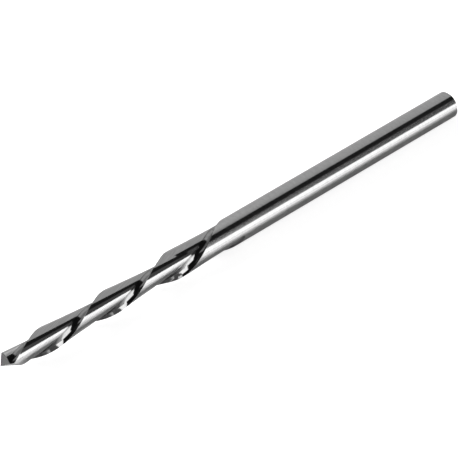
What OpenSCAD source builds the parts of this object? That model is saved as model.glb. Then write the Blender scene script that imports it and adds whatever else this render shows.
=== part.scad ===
// Spiral cut-out bit: one hard steel rod with two left-hand flutes ground into it, a faceted
// point that plunges like a drill, and a plain round shank. It lies along X on a bench, with
// the point at -X, the shank end at +X and the bench at z = 0.

/* [Blank] */
// Diameter of the round rod, which the shank keeps
shank_d = 3.175; // [3:0.025:4]
// Length from the point to the end of the shank
overall_l = 63.5; // [50:0.5:90]
// Width and height of the bevel round the end of the shank
end_bevel = 0.2; // [0.1:0.05:0.5]

/* [Flutes] */
// Diameter of the circle that the two cutting edges run on
cut_d = 2.75; // [2.5:0.05:3]
// Diameter of the core that is left between the flutes
core_d = 1.73; // [1.6:0.01:1.85]
// Length along the bit of one full turn of an edge
lead = 16.25; // [12:0.25:24]
// Length from the point over which the flutes keep their full depth
full_depth_l = 20.6; // [12:0.1:28]
// Angle at which the flutes rise out of the rod towards the shank
run_out_angle = 7.5; // [5:0.5:15]
// How far past its edge's run-out a flute's cutting face runs on
run_out_trail = 5.4; // [0:0.1:8]
// Turn behind an edge over which its land falls to the core
land_turn = 140; // [135:1:145]
// Height of the cutting face under an edge
face_height = 0.375; // [0.32:0.005:0.42]
// Turn that the cutting face takes up in front of its edge
face_turn = 7; // [4:0.5:10]

/* [Point] */
// Turn of the first cutting edge about the axis, at the tip
tip_turn = 258; // [0:1:359]
// Slope of the relief facet behind the first lip
first_lip_slope = 59; // [50:1:65]
// How much steeper the facet at the first tooth's heel is
heel_drop = 12; // [0:1:15]
// Slope of the three facets behind the second lip
second_lip_slope = 38; // [30:1:48]

/* [Hidden] */

shank_r = shank_d / 2;
edge_r = cut_d / 2;
core_r = core_d / 2;
flutes = 2;
flute_turn = 360 / flutes;

// The way that each facet of the point faces, as a turn from the first edge
first_lip_turn = 49;
first_heel_turn = 77;
second_lip_turn = -60;
second_back_turn = -97;
second_heel_turn = -157;
// How much steeper the facet at the second tooth's heel is
second_heel_drop = 2;

// Each facet is a plane through the tip: its turn and its slope
point_facets = [
    [first_lip_turn, first_lip_slope],
    [first_heel_turn, first_lip_slope + heel_drop],
    [second_lip_turn, second_lip_slope],
    [second_back_turn, second_lip_slope],
    [second_heel_turn, second_lip_slope + second_heel_drop]
];

// Steps along the land, across the flute's floor and along the bit
land_steps = 12;
floor_steps = 5;
ring_step = lead / 50;

// The land leaves the edge at this angle and keeps it, as an even spiral, down to its heel
relief_angle = atan(ln(edge_r / core_r) / (land_turn * PI / 180));
// The floor is a hollow arc that carries on from the heel to the foot of the cutting face
heel = polar(land_turn, core_r);
foot = polar(flute_turn - face_turn, edge_r - face_height);
floor_start = land_turn + 90 + relief_angle;
floor_bend = 2 * (atan2(foot.y - heel.y, foot.x - heel.x) + 360 - floor_start);
floor_r = norm(foot - heel) / (2 * sin(floor_bend / 2));

// Past this length the ground surface lies outside the rod all round
run_out_l = (shank_r - core_r) / tan(run_out_angle) + run_out_trail;
ground_l = full_depth_l + run_out_l + lead / 20;
// How far the forms that are cut run past the tip and the shank's end
overrun = 0.3;

function polar(turn, radius) = radius * [cos(turn), sin(turn)];

function land_point(i) = polar(i * land_turn / land_steps, edge_r * (core_r / edge_r) ^ (i / land_steps));

function floor_point(i) =
    let (way = floor_start + floor_bend * i / floor_steps)
    heel + floor_r * [sin(way) - sin(floor_start), cos(floor_start) - cos(way)];

// One flute's section from its edge to the next flute's, with its edge on the first axis
flute_section = [
    for (i = [0 : land_steps - 1]) land_point(i),
    for (i = [0 : floor_steps - 1]) floor_point(i),
    foot
];

function wheel_lift(along, turn) =
    max(0, along - run_out_trail * turn / flute_turn - full_depth_l) * tan(run_out_angle);

// The section at one height, turned along the helix and lifted where the flutes run out
function section_ring(along, height) = [
    for (flute = [0 : flutes - 1]) for (point = flute_section)
        let (
            turn = atan2(point.y, point.x),
            angle = tip_turn - 360 * along / lead + flute * flute_turn + turn,
            radius = norm(point) + wheel_lift(along, turn)
        )
        [radius * cos(angle), radius * sin(angle), height]
];

// A solid skinned over rings that have the same number of points
module loft(rings) {
    count = len(rings[0]);
    last = len(rings) - 1;
    walls = [
        for (j = [0 : last - 1]) for (i = [0 : count - 1])
            let (a = j * count + i, b = j * count + (i + 1) % count)
            each [[a, a + count, b], [b, a + count, b + count]]
    ];
    first_cap = [for (i = [0 : count - 1]) i];
    last_cap = [for (i = [count - 1 : -1 : 0]) last * count + i];
    polyhedron([for (ring = rings) each ring], concat([first_cap], walls, [last_cap]));
}

// Everything inside the surface that the grinding wheel leaves, past the rod at the shank
module ground_form() {
    rings = ceil((ground_l + overrun) / ring_step);
    top = rings * ring_step - overrun;
    loft([
        for (j = [0 : rings]) section_ring(j * ring_step - overrun, j * ring_step - overrun),
        section_ring(top, overall_l + overrun)
    ]);
}

// The round rod before grinding
module blank() {
    rotate_extrude($fn = 96)
        polygon([
            [0, -2 * overrun], [shank_r, -2 * overrun], [shank_r, overall_l - end_bevel],
            [shank_r - end_bevel, overall_l], [0, overall_l]
        ]);
}

// What is ground off in front of one facet of the point
module facet_waste(facet) {
    size = 4 * shank_d;
    rotate([0, 0, tip_turn + facet[0]])
        rotate([0, -facet[1], 0])
            translate([-size / 2, -size / 2, -size])
                cube(size);
}

module spiral_bit() {
    color("silver")
        translate([-overall_l / 2, 0, shank_r])
            rotate([0, 90, 0])
                difference() {
                    intersection() {
                        blank();
                        ground_form();
                    }
                    for (facet = point_facets) facet_waste(facet);
                }
}

spiral_bit();
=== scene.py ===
import math

import bmesh
import bpy
from mathutils import Matrix, Vector


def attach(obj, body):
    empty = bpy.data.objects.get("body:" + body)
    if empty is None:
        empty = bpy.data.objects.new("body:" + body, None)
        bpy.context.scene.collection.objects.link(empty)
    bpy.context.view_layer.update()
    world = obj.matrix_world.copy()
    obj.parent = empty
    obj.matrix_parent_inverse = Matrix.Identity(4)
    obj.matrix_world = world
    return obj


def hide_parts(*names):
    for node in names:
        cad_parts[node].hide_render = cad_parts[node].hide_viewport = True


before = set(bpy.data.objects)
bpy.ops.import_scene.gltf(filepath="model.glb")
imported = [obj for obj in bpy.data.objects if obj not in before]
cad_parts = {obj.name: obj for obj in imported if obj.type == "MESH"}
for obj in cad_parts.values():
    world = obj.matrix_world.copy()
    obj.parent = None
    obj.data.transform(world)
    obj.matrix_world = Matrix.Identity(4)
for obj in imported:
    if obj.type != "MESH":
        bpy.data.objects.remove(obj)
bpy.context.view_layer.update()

# The bit: one rod of hard tool steel. A grinding wheel cuts two left-hand flutes into it, each
# with a land that falls away behind its edge to the core and a narrow gullet in front of the
# next edge. The flutes run out into the round shank, and the tip is ground to five facets.
shank_radius = 0.0015875
bit_length = 0.0635
end_bevel = 0.0002
edge_radius = 0.001375
core_radius = 0.000865
lead = 0.01625
full_depth_length = 0.0206
run_out_slope = math.tan(math.radians(7.5))
run_out_trail = 0.0054
land_turn = 140
face_height = 0.000375
face_turn = 7
flute_turn = 180
tip_turn = 258
point_facets = [(49, 59), (77, 71), (-60, 38), (-97, 38), (-157, 40)]

land_steps = 44
floor_steps = 14
face_steps = 6
ring_step = 0.0001
stock_before_tip = 0.0003
ground_length = 0.0323

bit_mesh = bmesh.new()


def flute_section():
    """One flute from edge to edge, as points across the bit with the edge on the first axis."""
    def at(turn, radius):
        return Vector((radius * math.cos(math.radians(turn)), radius * math.sin(math.radians(turn))))

    land = [at(land_turn * i / land_steps,
               edge_radius * (core_radius / edge_radius) ** (i / land_steps))
            for i in range(land_steps)]
    heel, foot = at(land_turn, core_radius), at(flute_turn - face_turn, edge_radius - face_height)
    relief = math.atan(math.log(edge_radius / core_radius) / math.radians(land_turn))
    heading = math.radians(land_turn + 90) + relief
    bend = 2 * (math.atan2(foot.y - heel.y, foot.x - heel.x) % (2 * math.pi) - heading)
    reach = (foot - heel).length / (2 * math.sin(bend / 2))
    floor = []
    for i in range(floor_steps):
        turned = heading + bend * i / floor_steps
        floor.append(heel + reach * Vector((math.sin(turned) - math.sin(heading),
                                            math.cos(heading) - math.cos(turned))))
    face = [foot.lerp(at(flute_turn, edge_radius), i / face_steps) for i in range(face_steps)]
    return [(math.degrees(math.atan2(p.y, p.x)) % 360, p.length) for p in land + floor + face]


def grind_flutes(bm):
    """Sweeps the section up the helix, then lifts it out of the rod at the run-out."""
    section = flute_section()
    points = len(section)
    rim = bmesh.ops.create_circle(bm, cap_ends=True, radius=core_radius, segments=2 * points)
    start = -stock_before_tip
    for i, vert in enumerate(rim["verts"]):
        turn, radius = section[i % points]
        angle = math.radians(tip_turn - 360 * start / lead + turn + flute_turn * (i // points))
        vert.co = (radius * math.cos(angle), radius * math.sin(angle), start)
    steps = math.ceil((ground_length - start) / ring_step)
    bmesh.ops.spin(bm, geom=bm.edges[:], cent=(0, 0, 0), axis=(0, 0, 1),
                   dvec=(0, 0, ring_step), angle=-2 * math.pi * steps * ring_step / lead,
                   steps=steps, use_duplicate=False)
    for vert in bm.verts:
        along = vert.co.z
        angle = math.degrees(math.atan2(vert.co.y, vert.co.x))
        turn = (angle - tip_turn + 360 * along / lead + 0.01) % flute_turn - 0.01
        lift = max(0, along - run_out_trail * turn / flute_turn - full_depth_length)
        radius = vert.co.xy.length
        radius_now = min(shank_radius, radius + lift * run_out_slope)
        vert.co.x *= radius_now / radius
        vert.co.y *= radius_now / radius
    return start + steps * ring_step


def draw_shank(bm, from_height):
    """Draws the last round ring out to the shank's end and bevels the end."""
    rim = [e for e in bm.edges if e.is_boundary and e.verts[0].co.z > from_height - 1e-6]
    for height, radius in ((bit_length - end_bevel, shank_radius),
                           (bit_length, shank_radius - end_bevel)):
        made = bmesh.ops.extrude_edge_only(bm, edges=rim)["geom"]
        ring = [v for v in made if isinstance(v, bmesh.types.BMVert)]
        rim = [e for e in made if isinstance(e, bmesh.types.BMEdge) and e.is_boundary]
        for vert in ring:
            vert.co *= radius / vert.co.xy.length
            vert.co.z = height
    bmesh.ops.holes_fill(bm, edges=rim, sides=0)


def grind_point(bm):
    """Cuts each facet of the point as a plane through the tip."""
    for turn, slope in point_facets:
        around = math.radians(tip_turn + turn)
        steep = math.radians(slope)
        outward = Vector((math.sin(steep) * math.cos(around),
                          math.sin(steep) * math.sin(around), -math.cos(steep)))
        near = [v for v in bm.verts if v.co.z < 0.004]
        faces = {f for v in near for f in v.link_faces}
        edges = {e for f in faces for e in f.edges}
        verts = {v for f in faces for v in f.verts}
        cut = bmesh.ops.bisect_plane(bm, geom=list(verts) + list(edges) + list(faces),
                                     dist=1e-8, plane_co=(0, 0, 0), plane_no=outward,
                                     clear_outer=True)
        rim = [e for e in cut["geom_cut"] if isinstance(e, bmesh.types.BMEdge)]
        filled = bmesh.ops.holes_fill(bm, edges=rim, sides=0)
        # The facets take material 1, the darkened point steel: painted shade
        for face in filled["faces"]:
            face.material_index = 1


round_from = grind_flutes(bit_mesh)
draw_shank(bit_mesh, round_from)
grind_point(bit_mesh)
bmesh.ops.remove_doubles(bit_mesh, verts=bit_mesh.verts[:], dist=1e-8)
bmesh.ops.recalc_face_normals(bit_mesh, faces=bit_mesh.faces[:])
bmesh.ops.rotate(bit_mesh, verts=bit_mesh.verts[:], cent=(0, 0, 0),
                 matrix=Matrix.Rotation(math.radians(90), 3, "Y"))
bmesh.ops.translate(bit_mesh, verts=bit_mesh.verts[:], vec=(-bit_length / 2, 0, shank_radius))
for face in bit_mesh.faces:
    face.smooth = face.material_index == 0
    middle = face.calc_center_median() + Vector((bit_length / 2, 0, -shank_radius))
    turn = math.degrees(math.atan2(middle.y, -middle.z)) - tip_turn + 360 * middle.x / lead
    # Material 3, the flute's hollow floor and cutting face, is a darkened copy of the flute steel:
    # painted shade
    on_rod = all(math.hypot(v.co.y, v.co.z - shank_radius) > shank_radius * 0.9999 for v in face.verts)
    if on_rod or middle.x > ground_length:
        face.material_index = 2
    elif face.smooth and turn % flute_turn > land_turn:
        face.material_index = 3
for edge in bit_mesh.edges:
    edge.smooth = edge.calc_face_angle(0) < math.radians(12)

bit_data = bpy.data.meshes.new("ground_bit")
bit_mesh.to_mesh(bit_data)
bit_mesh.free()
ground_bit = bpy.data.objects.new("ground_bit", bit_data)
bpy.context.collection.objects.link(ground_bit)


def tool_steel(name, roughness, spread):
    """Ground tool steel, with the nodes that a pattern of marks needs."""
    steel = bpy.data.materials.new(name)
    steel.use_nodes = True
    nodes, links = steel.node_tree.nodes, steel.node_tree.links
    shader = nodes["Principled BSDF"]
    shader.inputs["Metallic"].default_value = 1
    shader.inputs["Roughness"].default_value = roughness
    shader.inputs["Anisotropic"].default_value = spread
    shader.inputs["Anisotropic Rotation"].default_value = 0.25
    around = nodes.new("ShaderNodeTangent")
    around.direction_type = "RADIAL"
    around.axis = "X"
    links.new(around.outputs[0], shader.inputs["Tangent"])
    place = nodes.new("ShaderNodeTexCoord")
    return steel, nodes, links, shader, place


def grinding_marks(nodes, links, shader, vector, scale, strength, tone):
    """Fine scratches: noise drawn out along the way that the wheel went."""
    drawn = nodes.new("ShaderNodeMapping")
    drawn.inputs["Scale"].default_value = scale
    noise = nodes.new("ShaderNodeTexNoise")
    noise.inputs["Scale"].default_value = 1
    noise.inputs["Detail"].default_value = 3
    grain = nodes.new("ShaderNodeBump")
    grain.inputs["Distance"].default_value = 0.00001
    grain.inputs["Strength"].default_value = strength
    links.new(vector, drawn.inputs["Vector"])
    links.new(drawn.outputs[0], noise.inputs["Vector"])
    links.new(noise.outputs[0], grain.inputs["Height"])
    links.new(grain.outputs["Normal"], shader.inputs["Normal"])
    streaks = nodes.new("ShaderNodeMapRange")
    streaks.inputs["From Min"].default_value = 0.3
    streaks.inputs["From Max"].default_value = 0.7
    streaks.inputs["To Min"].default_value = tone * 0.9
    streaks.inputs["To Max"].default_value = tone * 1.1
    links.new(noise.outputs[0], streaks.inputs["Value"])
    links.new(streaks.outputs[0], shader.inputs["Base Color"])


# The shank is ground while it turns, so its marks run round it
shank_steel, nodes, links, shader, place = tool_steel("shank_steel", 0.14, 0.9)
grinding_marks(nodes, links, shader, place.outputs["Object"], (12000, 900, 900), 0.2, 0.72)

# The flutes are ground along the helix: their marks follow it, in a frame that turns with it
flute_steel, nodes, links, shader, place = tool_steel("flute_steel", 0.1, 0)
axes = nodes.new("ShaderNodeSeparateXYZ")
untwist = nodes.new("ShaderNodeMath")
untwist.operation = "MULTIPLY"
untwist.inputs[1].default_value = 2 * math.pi / lead
turned = nodes.new("ShaderNodeVectorRotate")
turned.rotation_type = "X_AXIS"
turned.inputs["Center"].default_value = (0, 0, shank_radius)
links.new(place.outputs["Object"], axes.inputs[0])
links.new(axes.outputs["X"], untwist.inputs[0])
links.new(place.outputs["Object"], turned.inputs["Vector"])
links.new(untwist.outputs[0], turned.inputs["Angle"])
grinding_marks(nodes, links, shader, turned.outputs[0], (150, 7000, 7000), 0.3, 0.72)

# The point's facets are ground last; their steel is a darkened copy of the others: painted shade
painted_shade_point_steel, nodes, links, shader, place = tool_steel("painted_shade_point_steel", 0.1, 0)
grinding_marks(nodes, links, shader, place.outputs["Object"], (6000, 600, 6000), 0.1, 0.3)

# The hollow floor and the cutting face of a flute take the flute steel at half its tone: painted shade
# in the hollow
painted_shade_floor_steel, nodes, links, shader, place = tool_steel("painted_shade_floor_steel", 0.1, 0)
grinding_marks(nodes, links, shader, place.outputs["Object"], (3000, 3000, 3000), 0.1, 0.36)

for finish in (flute_steel, painted_shade_point_steel, shank_steel, painted_shade_floor_steel):
    bit_data.materials.append(finish)
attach(ground_bit, "root")
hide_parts("spiral_bit")


# The floor: a plain sheet of white card that the bit lies on. It goes white in the picture and
# in the metal, and keeps the bit's soft shadow.
def stage_card(name, centre, width, height, facing, material):
    """A flat card of the studio, facing a point."""
    bm = bmesh.new()
    bmesh.ops.create_grid(bm, x_segments=1, y_segments=1, size=0.5)
    look = (Vector(facing) - Vector(centre)).to_track_quat("Z", "Y").to_matrix().to_4x4()
    bmesh.ops.transform(bm, verts=bm.verts[:],
                        matrix=Matrix.Translation(centre) @ look
                        @ Matrix.Diagonal((width, height, 1, 1)))
    data = bpy.data.meshes.new(name)
    bm.to_mesh(data)
    bm.free()
    data.materials.append(material)
    card = bpy.data.objects.new(name, data)
    bpy.context.collection.objects.link(card)
    return card


floor_card = bpy.data.materials.new("floor_card")
floor_card.use_nodes = True
nodes, links = floor_card.node_tree.nodes, floor_card.node_tree.links
nodes.clear()
floor_out = nodes.new("ShaderNodeOutputMaterial")
paper = nodes.new("ShaderNodeBsdfDiffuse")
paper.inputs["Color"].default_value = (0.45, 0.45, 0.45, 1)
glow = nodes.new("ShaderNodeEmission")
path = nodes.new("ShaderNodeLightPath")
mirrored = nodes.new("ShaderNodeMath")
mirrored.operation = "MAXIMUM"
in_metal = nodes.new("ShaderNodeMath")
in_metal.operation = "MULTIPLY"
in_metal.inputs[1].default_value = 0.01
in_view = nodes.new("ShaderNodeMath")
in_view.operation = "MULTIPLY_ADD"
in_view.inputs[1].default_value = 0.84
both = nodes.new("ShaderNodeAddShader")
links.new(path.outputs["Is Glossy Ray"], mirrored.inputs[0])
links.new(path.outputs["Is Transmission Ray"], mirrored.inputs[1])
links.new(mirrored.outputs[0], in_metal.inputs[0])
links.new(path.outputs["Is Camera Ray"], in_view.inputs[0])
links.new(in_metal.outputs[0], in_view.inputs[2])
links.new(in_view.outputs[0], glow.inputs["Strength"])
links.new(paper.outputs[0], both.inputs[0])
links.new(glow.outputs[0], both.inputs[1])
links.new(both.outputs[0], floor_out.inputs["Surface"])
floor = stage_card("floor", (0, 0, 0), 6, 6, (0, 0, 1), floor_card)


# The studio: long cards beside and over the bit, as for any bright round tool. A white card
# low in front gives the bright stripe, and dark ones above it the grey and black stripes.
def card_paint(name, brightness):
    paint = bpy.data.materials.new(name)
    paint.use_nodes = True
    paint.node_tree.nodes.clear()
    out = paint.node_tree.nodes.new("ShaderNodeOutputMaterial")
    shine = paint.node_tree.nodes.new("ShaderNodeEmission")
    shine.inputs["Color"].default_value = (1, 1, 1, 1)
    shine.inputs["Strength"].default_value = brightness
    paint.node_tree.links.new(shine.outputs[0], out.inputs["Surface"])
    return paint


def studio_card(name, brightness, corners):
    """A card with its corners 0.9 m from the bit. Each corner is its place along the bit, as a
    share of that reach, and its angle above the front horizon."""
    bm = bmesh.new()
    places = []
    for share, angle in corners:
        out = 0.9 * math.sqrt(1 - share * share)
        rise = math.radians(angle)
        places.append(bm.verts.new((0.9 * share, -out * math.cos(rise), out * math.sin(rise))))
    bm.faces.new(places)
    data = bpy.data.meshes.new(name)
    bm.to_mesh(data)
    bm.free()
    data.materials.append(card_paint(name, brightness))
    card = bpy.data.objects.new(name, data)
    bpy.context.collection.objects.link(card)
    card.visible_camera = False
    card.visible_diffuse = False
    card.visible_shadow = False


studio_card("white_card", 1.4, [(0.3, 1), (0.95, 1), (0.95, 8), (0.75, 16), (0.45, 31), (0.3, 57)])
studio_card("left_white_card", 2.2, [(-0.1, 18), (0.05, 3), (0.3, 1), (0.3, 57), (0.1, 51),
                                     (-0.1, 62)])
studio_card("bright_card", 2.4, [(-0.5, 38), (-0.28, 32), (-0.1, 18), (-0.1, 62), (-0.2, 69),
                                 (-0.5, 57)])
studio_card("dim_card", 0.065, [(0.3, 57), (0.45, 31), (0.75, 16), (0.95, 8), (0.95, 40),
                               (0.7, 59), (0.5, 60), (0.3, 62)])
studio_card("dark_card", 0.01, [(0.3, 62), (0.5, 60), (0.7, 59), (0.95, 40), (0.95, 88),
                                (0.5, 95), (0.3, 110)])
studio_card("left_dark_card", 0.01, [(-0.5, 57), (-0.2, 69), (-0.1, 62), (0.1, 51), (0.3, 57),
                                     (0.3, 110), (0.1, 122), (-0.1, 165), (-0.55, 165),
                                     (-0.7, 57)])
studio_card("low_dark_card", 0.01, [(-0.95, 0), (-0.5, 0), (-0.5, 57), (-0.7, 57), (-0.95, 60)])
studio_card("low_grey_card", 0.15, [(-0.5, 0), (0.3, 0), (0.3, 1), (0.05, 3), (-0.1, 18),
                                    (-0.28, 32), (-0.5, 38)])
studio_card("upper_card", 0.64, [(0.2, 118), (0.3, 111), (0.4, 108), (0.4, 175), (0.2, 175)])
studio_card("tip_card", 0.55, [(-0.99, 110), (-0.82, 125), (-0.82, 160), (-0.97, 175)])

# Two sheets lie on the floor where only the metal sees them, as painted reflections: a grey one
# behind the bit, a painted shade, and a white one in front of the shank, a painted light
for name, brightness, centre, width, height in (
        ("back_shade_sheet", 0.5, (0, 1.402, 0.00002), 4, 2.8),
        ("front_light_sheet", 1.15, (1.488, -1.409, 0.00002), 3, 2.8)):
    sheet = stage_card(name, centre, width, height, (centre[0], centre[1], 1),
                       card_paint(name, brightness))
    sheet.visible_camera = False
    sheet.visible_diffuse = False
    sheet.visible_shadow = False

world = bpy.data.worlds.new("studio")
bpy.context.scene.world = world
world.use_nodes = True
nodes, links = world.node_tree.nodes, world.node_tree.links
nodes["Background"].inputs["Color"].default_value = (1, 1, 1, 1)
path = nodes.new("ShaderNodeLightPath")
sky = nodes.new("ShaderNodeMath")
sky.operation = "MULTIPLY_ADD"
sky.inputs[1].default_value = 0.64
sky.inputs[2].default_value = 0.36
links.new(path.outputs["Is Camera Ray"], sky.inputs[0])
links.new(sky.outputs[0], nodes["Background"].inputs["Strength"])

key_lamp = bpy.data.lights.new("key_lamp", "AREA")
key_lamp.shape = "SQUARE"
key_lamp.size = 0.5
key_lamp.energy = 40
key = bpy.data.objects.new("key_lamp", key_lamp)
key.location = (-0.62, 0.68, 0.4)
key.rotation_euler = (-key.location).to_track_quat("-Z", "Y").to_euler()
bpy.context.collection.objects.link(key)

# The camera: a long lens from the front left, looking down on the bit
camera_lens = bpy.data.cameras.new("camera")
camera_lens.sensor_width = 36
camera_lens.lens = 157.35
camera_lens.clip_start = 0.01
camera_lens.clip_end = 20
camera = bpy.data.objects.new("camera", camera_lens)
camera.location = (-0.10886, -0.117165, 0.139236)
camera.rotation_euler = [math.radians(a) for a in (49.161, -0.4264, -42.0534)]
bpy.context.collection.objects.link(camera)
bpy.context.scene.camera = camera
bpy.context.scene.view_settings.view_transform = "Standard"
